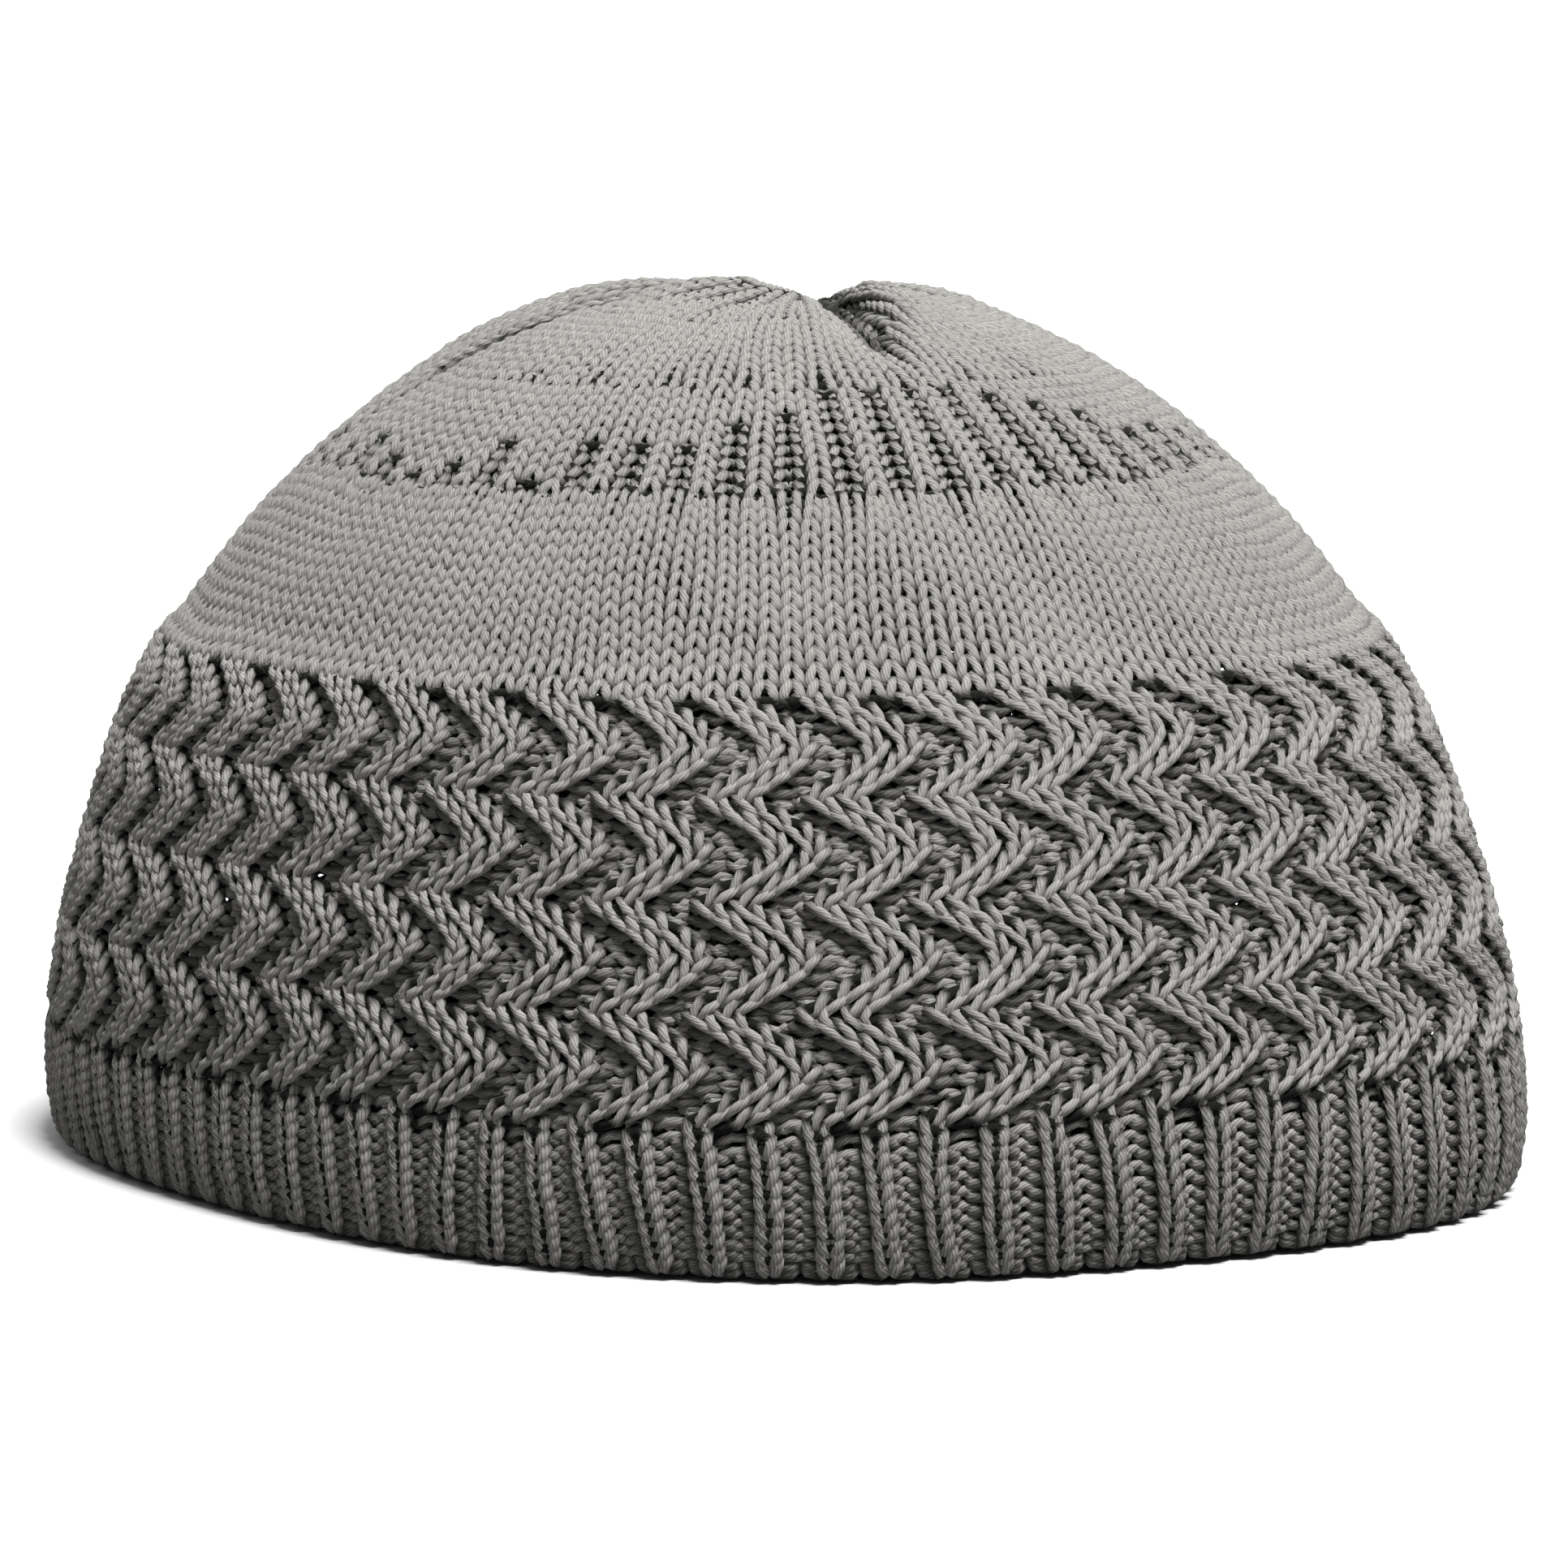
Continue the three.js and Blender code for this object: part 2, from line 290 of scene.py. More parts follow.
def join(tree, value, slot):
    """Wires a value into a slot, or types a plain number into it."""
    if isinstance(value, Wire):
        tree.links.new(value.socket, slot)
    else:
        slot.default_value = value


def node_of(tree, kind, wires=(), **settings):
    """Adds a node, sets it up and fills its inputs, which are named or numbered."""
    node = tree.nodes.new(kind)
    for name, value in settings.items():
        setattr(node, name, value)
    for slot, value in dict(wires).items():
        join(tree, value, node.inputs[slot])
    return node


def out(node, name=0):
    return Wire(node.id_data, node.outputs[name])


print("helper ready")

# %% [markdown]
# ## One loop of yarn, repeated
#
# In a knitted course the yarn climbs one leg, rounds the head of the loop, comes down the other leg and
# runs on under the next stitch. Seen from the front that is a wave whose legs lean together at the foot:
# sideways it follows sin of twice the beat, up and down cos of the beat, and in and out cos of twice the
# beat. A knit stitch has its legs in front and its head behind. A purl is the same loop turned round.
#
# The tree takes a chart, which has one point for each stitch, and subdivides it into points along the
# yarn. It moves each point on the chart by the loop's formula, finds that spot on the form, and sweeps a
# round section along the result. Modelling one stitch and copying it could not join the yarn from stitch
# to stitch, nor lean the loops along a zigzag.

# %% Read and store attributes in a tree
def stored(tree, name, kind="FLOAT"):
    """What each point holds under this name. The chart gives it for each stitch."""
    node = node_of(tree, "GeometryNodeInputNamedAttribute", {"Name": name}, data_type=kind)
    return out(node, "Attribute")


def store(tree, geometry, values, kind="FLOAT"):
    """Writes each value on the points, under its name."""
    for name, value in values.items():
        geometry = out(node_of(tree, "GeometryNodeStoreNamedAttribute", {
            "Geometry": geometry, "Name": name, "Value": value}, data_type=kind, domain="POINT"))
    return geometry


print("attributes can be read and stored")


# %% Follow the yarn through its loops
SIDE_CHANGE = 1.7  # how fast the yarn changes sides between a knit and a purl; 1 is slowest
CORNER_SHARPNESS = 0.985  # of the zigzag, where 1 is a point
CORNER_ROUNDING = 0.6  # of the zigzag's right corners, where 0 leaves them as sharp as the left ones


def loop_path(tree, given):
    """Where the yarn is on the chart, how far out of the form, and how far it is tucked behind."""
    # beat runs from 0 at one head to a full circle at the next
    beat = stored(tree, "stitch").math("FRACT") * math.tau
    swing = (beat * 2).math("SINE")
    facing = (beat * 2).math("COSINE")

    # side is +1 on a knit stitch and -1 on a purl, and knitted is the same from 1 to 0
    face = (stored(tree, "face") * SIDE_CHANGE).clamp(-1.0, 1.0)
    side = (face * (math.pi / 2)).math("SINE")
    knitted = side * 0.5 + 0.5

    def mixed(size):
        purl = out(given, "Purl " + size)
        return purl + (out(given, "Knit " + size) - purl) * knitted

    climb = stored(tree, "loop") * beat.math("COSINE")
    slant = out(given, "Purl slant") * beat.math("SINE") * (1.0 - knitted)
    length = stored(tree, "length") + climb + slant

    # the zigzag: a wave with sharp corners on the left and round ones on the right, measured down from its
    # top. Knit loops are sheared by it, and purl loops keep more of their own shape
    level = stored(tree, "length") + climb * mixed("shear")
    waves_down = (out(given, "Zigzag top") - level) / out(given, "Zigzag wave")
    wave = (waves_down * math.tau).math("COSINE") * CORNER_SHARPNESS
    even_lean = 0.5 - wave.math("ARCSINE") * (0.5 / math.asin(CORNER_SHARPNESS))
    round_lean = (even_lean * (math.pi / 2)).math("SINE")
    lean = even_lean * (1 - CORNER_ROUNDING) + round_lean * CORNER_ROUNDING

    # draw pulls the two legs of a loop together
    drawn = mixed("draw") * beat.math("SINE")
    sideways = mixed("width") * swing - drawn + out(given, "Zigzag sway") * lean
    turn = (stored(tree, "turns") + stored(tree, "pitch") * sideways).math("FRACT")

    # the front of the legs of a knit stitch touches the form, and the rest of the yarn lies further in
    depth = mixed("depth")
    rise = out(given, "Knit rise")
    middle = side * (rise - depth * facing) - rise - depth
    out_of_it = middle - stored(tree, "radius") - stored(tree, "sink")

    # tucked is 1 where the yarn passes behind its neighbours and 0 where it shows
    tucked = (side * facing + 1.0) * 0.5
    return turn, length, out_of_it, tucked


print("a loop's path is written")


# %% Lay the yarn on the form
CHART_EDGE = 0.0002  # the share of the chart's height that is kept clear at its edges


def lay_on_form(tree, given, points, turn, length, out_of_it):
    """Puts each point at its spot on the form, out of it or into it. Also gives the direction out there."""
    shape = out(node_of(tree, "GeometryNodeObjectInfo", {
        "Object": out(given, "Form")}, transform_space="ORIGINAL"), "Geometry")
    up = (length / out(given, "Fabric length")).clamp(CHART_EDGE, 1 - CHART_EDGE)
    spot = out(node_of(tree, "ShaderNodeCombineXYZ", {"X": turn, "Y": up}))
    chart = stored(tree, "chart", "FLOAT_VECTOR")
    position = out(node_of(tree, "GeometryNodeInputPosition"))
    place, way_out = [
        out(node_of(tree, "GeometryNodeSampleUVSurface", {
            "Mesh": shape, "Value": value, "UV Map": chart, "Sample UV": spot}, data_type="FLOAT_VECTOR"))
        for value in (position, stored(tree, "outward", "FLOAT_VECTOR"))
    ]
    pushed = node_of(tree, "ShaderNodeVectorMath", {0: way_out, "Scale": out_of_it}, operation="SCALE")
    moved = node_of(tree, "ShaderNodeVectorMath", {0: place, 1: out(pushed)}, operation="ADD")
    laid = node_of(tree, "GeometryNodeSetPosition", {"Geometry": points, "Position": out(moved)})
    return out(laid), way_out


print("the yarn can be laid on the form")

# %% [markdown]
# ## From a line to yarn
#
# The line of points becomes yarn by sweeping a round section along it. Real yarn is soft: it fills the gaps
# where it is pressed behind its neighbours, and its loose fibres close what is left. Here the tucked yarn is
# simply drawn thicker, by up to four tenths, which closes most gaps without a fibre being modelled.
#
# The tree also stores how deep and how far behind each part of the yarn lies. The yarn's shader reads that
# as shade. A side of the yarn that faces out is in shade where the yarn is tucked behind, and a side that
# faces in is in shade where it isn't.

# %% Build the tree that knits
FRONT_THICKNESS, TUCKED_EXTRA = 1.06, 0.45  # in yarn radii
FACING_START, FACING_SLOPE = 0.7, 0.9  # how much of a side counts as facing out, edge on, and its change
KINDS = {
    "Geometry": "Geometry", "Form": "Object", "Yarn": "Material", "Points in a stitch": "Int", "Sides": "Int",
}
SIZES = [
    *[f"{stitch} {size}" for size in ("width", "depth", "shear", "draw") for stitch in ("Knit", "Purl")],
    "Purl slant", "Knit rise", "Zigzag sway", "Zigzag wave", "Zigzag top", "Fabric length",
]


def sweep_yarn(tree, given, path, tucked):
    section = out(node_of(tree, "GeometryNodeCurvePrimitiveCircle", {
        "Resolution": out(given, "Sides"), "Radius": 1.0}))
    around = out(node_of(tree, "GeometryNodeInputIndex")) / out(given, "Sides")
    swept = node_of(tree, "GeometryNodeCurveToMesh", {
        "Curve": path, "Profile Curve": store(tree, section, {"around": around}),
        "Scale": stored(tree, "radius") * (FRONT_THICKNESS + tucked * TUCKED_EXTRA), "Fill Caps": True})
    return out(node_of(tree, "GeometryNodeSetShadeSmooth", {"Geometry": out(swept)}))


def shade_by_side(tree, swept):
    faces_out = out(node_of(tree, "ShaderNodeVectorMath", {
        0: out(node_of(tree, "GeometryNodeInputNormal")), 1: stored(tree, "outward", "FLOAT_VECTOR"),
    }, operation="DOT_PRODUCT"), "Value")
    share = (faces_out * FACING_SLOPE + FACING_START).clamp(0.0, 1.0)
    tucked = stored(tree, "hidden")
    hidden = tucked * share + (1.0 - tucked) * (1.0 - share)
    return store(tree, swept, {"hidden": hidden, "sunk": stored(tree, "sunk") * share})


def knitting_tree():
    tree = bpy.data.node_groups.new("knit the chart", "GeometryNodeTree")
    tree.interface.new_socket("Geometry", in_out="OUTPUT", socket_type="NodeSocketGeometry")
    for label, kind in {**KINDS, **dict.fromkeys(SIZES, "Float")}.items():
        tree.interface.new_socket(label, in_out="INPUT", socket_type="NodeSocket" + kind)
    given = node_of(tree, "NodeGroupInput")
    course = node_of(tree, "GeometryNodeMeshToCurve", {"Mesh": out(given, "Geometry")})
    cuts = out(given, "Points in a stitch") - 1
    finer = node_of(tree, "GeometryNodeSubdivideCurve", {"Curve": out(course), "Cuts": cuts})
    turn, length, out_of_it, tucked = loop_path(tree, given)
    path, way_out = lay_on_form(tree, given, out(finer), turn, length, out_of_it)
    along = out(node_of(tree, "GeometryNodeSplineParameter"), "Length")
    path = store(tree, path, {"along": along, "sunk": stored(tree, "crease") - out_of_it, "hidden": tucked})
    path = store(tree, path, {"outward": way_out}, "FLOAT_VECTOR")
    shaded = shade_by_side(tree, sweep_yarn(tree, given, path, tucked))
    real = node_of(tree, "GeometryNodeRealizeInstances", {"Geometry": shaded})
    coloured = node_of(tree, "GeometryNodeSetMaterial", {
        "Geometry": out(real), "Material": out(given, "Yarn")})
    node_of(tree, "NodeGroupOutput", {"Geometry": out(coloured)})
    return tree


knit = knitting_tree()
print("the knitting tree has", len(knit.nodes), "nodes")

# %% [markdown]
# ## The yarn
#
# The yarn is matt and grey, of several plies twisted together. Its detail follows the yarn, not the cap, so
# it reads the yarn's own UV map: metres along it and the share of the way round. Lines on that map slant
# because of the twist. One shader node group draws the plies and fibres, and paints shade into the grooves
# between the plies.
#
# Between the stitches of thick knitting it is nearly black. The lights alone leave those places too bright,
# so part of that darkness is painted: the group darkens the yarn by the depth and the tuck that the tree
# stored on it.

# %% Build the shader group for plied yarn
PLY_ROUNDNESS = 0.8
FIBRES_ROUND, FIBRES_ALONG = 5.0, 700.0  # the noise changes fast across the plies and slowly along them
CLOUDING = 0.16  # slow changes of tone over the cap
ROUGHNESS_CHANGE, FIBRE_HEIGHT = 0.12, 0.55
DEPTH_SHADE = (1.85 * MM, 3.2 * MM, 0.06)  # it starts here, is full here, and leaves this much of the tone
TUCK_SHADE = (0.22, 0.72, 0.04)


def painted_shade(tree, name, starts, full, left):
    """1 where there is no shade, falling to what is left of the tone."""
    amount = node_of(tree, "ShaderNodeAttribute", attribute_name=name, attribute_type="GEOMETRY")
    return out(node_of(tree, "ShaderNodeMapRange", {
        "Value": out(amount, "Fac"), "From Min": starts, "From Max": full, "To Min": 1.0, "To Max": left,
    }, interpolation_type="SMOOTHSTEP"))


def plied_yarn_group():
    tree = bpy.data.node_groups.new("plied yarn", "ShaderNodeTree")
    for label, kind, side in [
        ("Colour", "Color", "INPUT"), ("Plies", "Float", "INPUT"), ("Twist length", "Float", "INPUT"),
        ("Groove shade", "Float", "INPUT"), ("Fibre contrast", "Float", "INPUT"),
        ("Roughness", "Float", "INPUT"), ("Colour", "Color", "OUTPUT"), ("Roughness", "Float", "OUTPUT"),
        ("Height", "Float", "OUTPUT"),
    ]:
        tree.interface.new_socket(label, in_out=side, socket_type="NodeSocket" + kind)
    given = node_of(tree, "NodeGroupInput")
    strand = node_of(tree, "ShaderNodeSeparateXYZ", {0: out(node_of(tree, "ShaderNodeUVMap", uv_map="yarn"))})
    along, around = out(strand, "X"), out(strand, "Y")
    twist = around + along / out(given, "Twist length")
    ply = (twist * out(given, "Plies") * math.pi).math("SINE").math("ABSOLUTE") ** PLY_ROUNDNESS

    circle = twist * math.tau
    fibre_place = node_of(tree, "ShaderNodeCombineXYZ", {
        "X": circle.math("COSINE") * FIBRES_ROUND, "Y": circle.math("SINE") * FIBRES_ROUND,
        "Z": along * FIBRES_ALONG})
    fibre = out(node_of(tree, "ShaderNodeTexNoise", {
        "Vector": out(fibre_place), "Scale": 1.6, "Detail": 3.0, "Roughness": 0.65}, noise_dimensions="3D"))
    slow_place = node_of(tree, "ShaderNodeTexCoord")
    slow = out(node_of(tree, "ShaderNodeTexNoise", {
        "Vector": out(slow_place, "Object"), "Scale": 55.0, "Detail": 2.0}, noise_dimensions="3D"))
    strength = 1.0 + (fibre - 0.5) * out(given, "Fibre contrast") + (slow - 0.5) * CLOUDING

    deep = painted_shade(tree, "sunk", *DEPTH_SHADE)
    behind = painted_shade(tree, "hidden", *TUCK_SHADE)
    # painted shade: the colour is darkened in the grooves between the plies, where the yarn lies deep, and
    # where it is tucked behind
    shade = strength * (1.0 - (1.0 - ply) * out(given, "Groove shade")) * deep * behind
    colour = out(node_of(tree, "ShaderNodeVectorMath", {
        0: out(given, "Colour"), "Scale": shade}, operation="SCALE"))
    rough = (out(given, "Roughness") + (fibre - 0.5) * ROUGHNESS_CHANGE).math("MINIMUM", 1.0)
    height = ply + (fibre - 0.5) * FIBRE_HEIGHT
    node_of(tree, "NodeGroupOutput", {"Colour": colour, "Roughness": rough, "Height": height})
    return tree


plied_yarn = plied_yarn_group()
print("shader group inputs:", [s.name for s in plied_yarn.interface.items_tree if s.in_out == "INPUT"])


# %% Mix the yarn for each kind of stitch
YARN_COLOUR = (0.4, 0.391, 0.371)


def empty_tree(owner):
    """The node tree of a material or a world, with nothing in it."""
    owner.use_nodes = True
    owner.node_tree.nodes.clear()
    return owner.node_tree


def yarn_material(name, groove_shade, fibre_contrast, sheen):
    material = bpy.data.materials.new(name)
    tree = empty_tree(material)
    yarn = node_of(tree, "ShaderNodeGroup", node_tree=plied_yarn)
    for label, value in {
        "Colour": (*YARN_COLOUR, 1.0), "Plies": 8.0, "Twist length": 7.2 * MM,
        "Groove shade": groove_shade, "Fibre contrast": fibre_contrast, "Roughness": 0.88,
    }.items():
        yarn.inputs[label].default_value = value
    bump = node_of(tree, "ShaderNodeBump", {
        "Height": out(yarn, "Height"), "Strength": 0.5, "Distance": 0.1 * MM})
    cloth = node_of(tree, "ShaderNodeBsdfPrincipled", {
        "Base Color": out(yarn, "Colour"), "Roughness": out(yarn, "Roughness"), "Normal": out(bump),
        "Specular IOR Level": 0.06, "Sheen Weight": sheen, "Sheen Roughness": 0.45,
        "Sheen Tint": (0.95, 0.94, 0.9, 1.0),
    })
    node_of(tree, "ShaderNodeOutputMaterial", {"Surface": out(cloth)})
    return material


rib_yarn = yarn_material("ribbed yarn", groove_shade=0.6, fibre_contrast=1.4, sheen=0.02)
zigzag_yarn = yarn_material("zigzag yarn", groove_shade=0.38, fibre_contrast=1.4, sheen=0.03)
crown_yarn = yarn_material("crown yarn", groove_shade=0.46, fibre_contrast=1.6, sheen=0.1)
print("yarns:", [m.name for m in (rib_yarn, zigzag_yarn, crown_yarn)])

# %% [markdown]
# ## Writing the knitting chart
#
# A chart tells a knitter which stitch comes next. Here it is a line of points, one for each stitch, from
# the first course of a zone to its last. Each point carries where the stitch is, whether it is knit (+1) or
# purl (-1), how tall and thick its loop is, how far it is pressed in, and how deep in a crease it lies. Real
# stitches are never equal, so a small, seeded wobble is added to each one.

# %% Write one course
START = 0.25  # the courses step up at the middle of the back


def columns_of(stitches):
    """The stitches of one round, numbered from where the courses step up."""
    return np.arange(stitches) + round(stitches * START)


def course(length, stitches, face, spread=None, loop=1.5, width=1.0, radius=0.58, sink=0.0):
    """One round of stitches. spread moves each stitch sideways, in stitches."""
    column = columns_of(stitches)
    turns = column.astype(float)
    if spread is not None:
        turns = turns + spread(column)
    values = {"stitches": stitches, "turns": turns / stitches}
    values["pitch"] = np.full(stitches, width / stitches)
    values["face"] = face(column).astype(float)
    for name, value in {"length": length, "loop": loop, "radius": radius, "sink": sink}.items():
        values[name] = np.broadcast_to(np.asarray(value, float), stitches).copy()
    return values


print("columns of a course of eight:", columns_of(8))

# %% [markdown]
# ## Creases and unevenness
#
# A fold in knitting is dark inside, because the fabric closes over it. The form's folds are open valleys, so
# each stitch also gets a depth in the crease, which the yarn's shader turns into shade. The fold on the left
# has a lip in the real fabric, which the form can't have. `pocket_shade` darkens the place under it, and no
# shape goes with it.

# %% Say how deep in a crease a stitch lies
CREASE_FROM, CREASE_MOST, CREASE_SHADE = 0.7, 2, 1.2  # from this depth, up to this much more, times this
POCKET_ANGLE, POCKET_DEPTH, POCKET_WIDTH = 149, 1.5, 2.2  # beside the fold at this angle, by its own width
POCKET_BEGINS, POCKET_ENDS = (12, 34), (36, 60)  # it fades in and out between these, from the gather


def pocket_shade(x, y):
    """Extra depth, for the shade only, under the lip of the fold where the fabric closes over itself."""
    distance, direction = from_gather(x, y)
    away = beside_line(distance, direction, POCKET_ANGLE) + POCKET_WIDTH
    along = smooth_step(distance, *POCKET_BEGINS) * (1 - smooth_step(distance, *POCKET_ENDS))
    return POCKET_DEPTH * along * bell(away, POCKET_WIDTH)


def crease_depth(turn, length):
    x, y, _ = outer_points(turn, length).T
    folded = (-fold_rise(x, y) - CREASE_FROM).clip(0, CREASE_MOST) * CREASE_SHADE
    return folded + pocket_shade(x, y)


print("deepest in the top:", crease_depth(np.linspace(0, 1, 400), np.full(400, 135.0)).max().round(1), "mm")


# %% Join the courses into a chart
DRIFTS = [(5, 9.0, 0.3), (11, -6.0, 1.9), (17, 5.0, 4.1)]  # waves round, millimetres a radian, phase
DRIFT_TURNS, DRIFT_LENGTH = 0.0007, 0.14  # shares of the round, and millimetres
LEVEL_RIM = (2.0, 12.0)  # the rim lies level, and the drift up and down grows between these lengths
WOBBLE = {"turns": 0.032, "length": 0.07, "loop": 0.035, "radius": 0.025, "sink": 0.04}


def drift(turn, length, shift):
    """A slow unevenness, the same in every zone, because no fabric lies quite true."""
    waves = [
        np.sin(math.tau * count * turn + length / reach + phase + shift)
        for count, reach, phase in DRIFTS
    ]
    return np.sum(waves, axis=0)


def charted(values, number, chance):
    """One course as the chart holds it, in metres, with its drift and each stitch's own wobble."""
    count, turns, length = values["stitches"], values["turns"], values["length"]
    aside, above, taller, thicker = chance.normal(0.0, 1.0, (4, count)).clip(-2, 2)
    drift_aside = drift(turns, length, 0) * DRIFT_TURNS
    drift_above = drift(turns, length, 2) * DRIFT_LENGTH * smooth_step(length, *LEVEL_RIM)
    return {
        "turns": turns + number + aside * WOBBLE["turns"] / count + drift_aside,
        "length": (length + above * WOBBLE["length"] + drift_above) * MM,
        "loop": values["loop"] * (1 + taller * WOBBLE["loop"]) * MM,
        "radius": values["radius"] * (1 + thicker * WOBBLE["radius"]) * MM,
        "sink": (values["sink"] + thicker * WOBBLE["sink"]) * MM,
        "face": values["face"],
        "pitch": values["pitch"],
        "crease": crease_depth(turns, length) * MM,
    }


def chart_of(name, courses, seed):
    """Joins the courses end to end, as a mesh that is one line of points."""
    chance = np.random.default_rng(seed)
    rows = [charted(values, number, chance) for number, values in enumerate(courses)]
    columns = {key: np.concatenate([row[key] for row in rows]) for key in rows[0]}
    total = len(columns["turns"])
    columns["stitch"] = np.arange(total)
    mesh = bpy.data.meshes.new(name)
    mesh.from_pydata([(i * MM, 0.0, 0.0) for i in range(total)], [(i, i + 1) for i in range(total - 1)], [])
    for key, values in columns.items():
        mesh.attributes.new(key, "FLOAT", "POINT").data.foreach_set("value", values.astype(np.float32))
    return mesh


print("each stitch has a wobble in", ", ".join(WOBBLE))


# %% Write helpers that knit a chart and finish the yarn
def set_input(modifier, label, value):
    """Modifier inputs are set by the socket's identifier."""
    for item in modifier.node_group.interface.items_tree:
        if item.item_type == "SOCKET" and item.in_out == "INPUT" and item.name == label:
            modifier[item.identifier] = value


def attribute_of(mesh, name):
    values = np.empty(len(mesh.vertices), np.float32)
    mesh.attributes[name].data.foreach_get("value", values)
    return values


def map_the_yarn(mesh):
    """The yarn's UV map: metres along it, and the share of the way round its section."""
    corner = np.empty(len(mesh.loops), np.int32)
    mesh.loops.foreach_get("vertex_index", corner)
    start = np.empty(len(mesh.polygons), np.int32)
    sides = np.empty(len(mesh.polygons), np.int32)
    mesh.polygons.foreach_get("loop_start", start)
    mesh.polygons.foreach_get("loop_total", sides)
    along, around = attribute_of(mesh, "along")[corner], attribute_of(mesh, "around")[corner]
    # a face that closes the round runs on past 1, and does not fall back to 0
    face = np.repeat(np.arange(len(start)), sides)
    highest = np.maximum.reduceat(around, start)[face]
    wraps = (highest - np.minimum.reduceat(around, start)[face] > 0.5) & (around < 0.5)
    around = np.where(wraps, around + 1.0, around)
    uv = mesh.uv_layers.new(name="yarn")
    uv.data.foreach_set("uv", np.stack([along, around], axis=1).astype(np.float32).ravel())
    uv.active = True


def knit_piece(name, courses, yarn, seed, points=8, sides=5, width=(0.27, 0.27), depth=(0.42, 0.42),
               shear=(1.0, 1.0), draw=(0.0, 0.0), slant=0.0, rise=0.0, zigzag=0.0):
    """Where a size is a pair, it is for the knit stitches and for the purls."""
    chart = add_object(name + "_chart", chart_of(name, courses, seed))
    knitting = chart.modifiers.new("knit", "NODES")
    knitting.node_group = knit
    for label, value in {
        "Form": form, "Yarn": yarn, "Points in a stitch": points, "Sides": sides,
        "Knit width": width[0], "Purl width": width[1], "Knit depth": depth[0] * MM,
        "Purl depth": depth[1] * MM, "Knit shear": shear[0], "Purl shear": shear[1],
        "Knit draw": draw[0], "Purl draw": draw[1], "Purl slant": slant * MM, "Knit rise": rise * MM,
        "Zigzag sway": zigzag, "Zigzag wave": ZIGZAG_LENGTH / WAVES * MM,
        "Zigzag top": (BRIM_LENGTH + ZIGZAG_LENGTH) * MM, "Fabric length": FABRIC_LENGTH * MM,
    }.items():
        set_input(knitting, label, value)
    evaluated = chart.evaluated_get(bpy.context.evaluated_depsgraph_get())
    mesh = bpy.data.meshes.new_from_object(evaluated)
    mesh.name = name
    bpy.data.objects.remove(chart)
    map_the_yarn(mesh)
    mesh.calc_loop_triangles()
    print(f"{name}: {sum(c['stitches'] for c in courses)} stitches, {len(mesh.loop_triangles)} triangles")
    return add_object(name, mesh)


print("ready to knit")

# %% [markdown]
# ## The ribbed brim
#
# Knit-one purl-one ribbing stands in sharp ribs: the knit stitches spring forward and the purls sink
# between them. The loops are about two courses tall, so a leg shows as a long rope. The first course is
# the cast-on edge, which is flatter. The brim could be a corrugated surface with a bump, but then its
# valleys would be bare, where on the real cap each course crosses them as a small bar.

# %% Knit the ribbed brim
RIB_COURSES = 11
CAST_ON_LIFT, CAST_ON_FADE = 0.85, 1.2  # millimetres, and courses
LAST_SINK = [0.0, 1.5, 0.7, 0.0]  # in every four stitches of the last course, millimetres
BRIM_COLUMNS = columns_of(STITCHES)


def knit_one_purl_one(column):
    return np.where(column % 2 == 0, 1, -1)


def rib_length(number):
    """The cast-on course sits higher than its share, because its loops must stand on the floor."""
    even = (number + 0.5) * BRIM_LENGTH / RIB_COURSES
    return even + CAST_ON_LIFT * math.exp(-number / CAST_ON_FADE)


def brim_course(number):
    """In the last course the yarn dips where a purl turns to knit above, which leaves a small hole."""
    up = rib_length(number)
    is_last = number == RIB_COURSES - 1
    is_knit = knit_one_purl_one(BRIM_COLUMNS) > 0
    return course(
        up, STITCHES, knit_one_purl_one, spread=lambda column: RIB_LEAN * (1 - up / BRIM_LENGTH),
        loop=(1.02 if number == 0 else np.where(is_knit, 1.6, 1.2)), radius=np.where(is_knit, 0.64, 0.54),
        sink=is_last * np.choose(BRIM_COLUMNS % 4, LAST_SINK))


brim = knit_piece(
    "ribbed_brim_knit", [brim_course(number) for number in range(RIB_COURSES)], rib_yarn, seed=11, points=9,
    width=(0.2, 0.34), depth=(0.34, 0.6), slant=0.45, rise=0.62)

# %% [markdown]
# ## The zigzag band
#
# Two knit wales travel together over a purl ground, right and left again in every wave. When a wale leans,
# its loops are sheared: one leg stands steep and the other lies long and flat. Moving the stitches alone
# would step them like a staircase, so the tree moves each point of the yarn by its own height instead.
#
# The band is knitted as three pieces, because one mesh of all its yarn would be too heavy to pass on.

# %% Knit the zigzag band
ZIGZAG_COURSES = 32
BAND_PARTS = [(0, 11), (11, 22), (22, 32)]  # first course, and the one after the last
WALE_PLACES = np.array([0.0, 1.37, 2.25, 3.12])  # in every four stitches: two knit wales, then two purls
HOLE_LIFT, HOLE_SHORTENS = 0.5, 0.6  # millimetres


def zigzag_face(column):
    return np.where(column % 4 < 2, 1, -1)


def zigzag_spread(column):
    return WALE_PLACES[column % 4] - column % 4


def zigzag_course(number):
    """The first course stands a little higher over each hole in the brim, and its loops there are short."""
    up = BRIM_LENGTH + (number + 0.5) * ZIGZAG_LENGTH / ZIGZAG_COURSES
    is_knit = zigzag_face(BRIM_COLUMNS) > 0
    over_hole = (number == 0) & (BRIM_COLUMNS % 4 == 1)
    return course(
        up + HOLE_LIFT * over_hole, STITCHES, zigzag_face, spread=zigzag_spread,
        loop=np.where(is_knit, 1.5, 1.15) - HOLE_SHORTENS * over_hole, radius=np.where(is_knit, 0.56, 0.53))


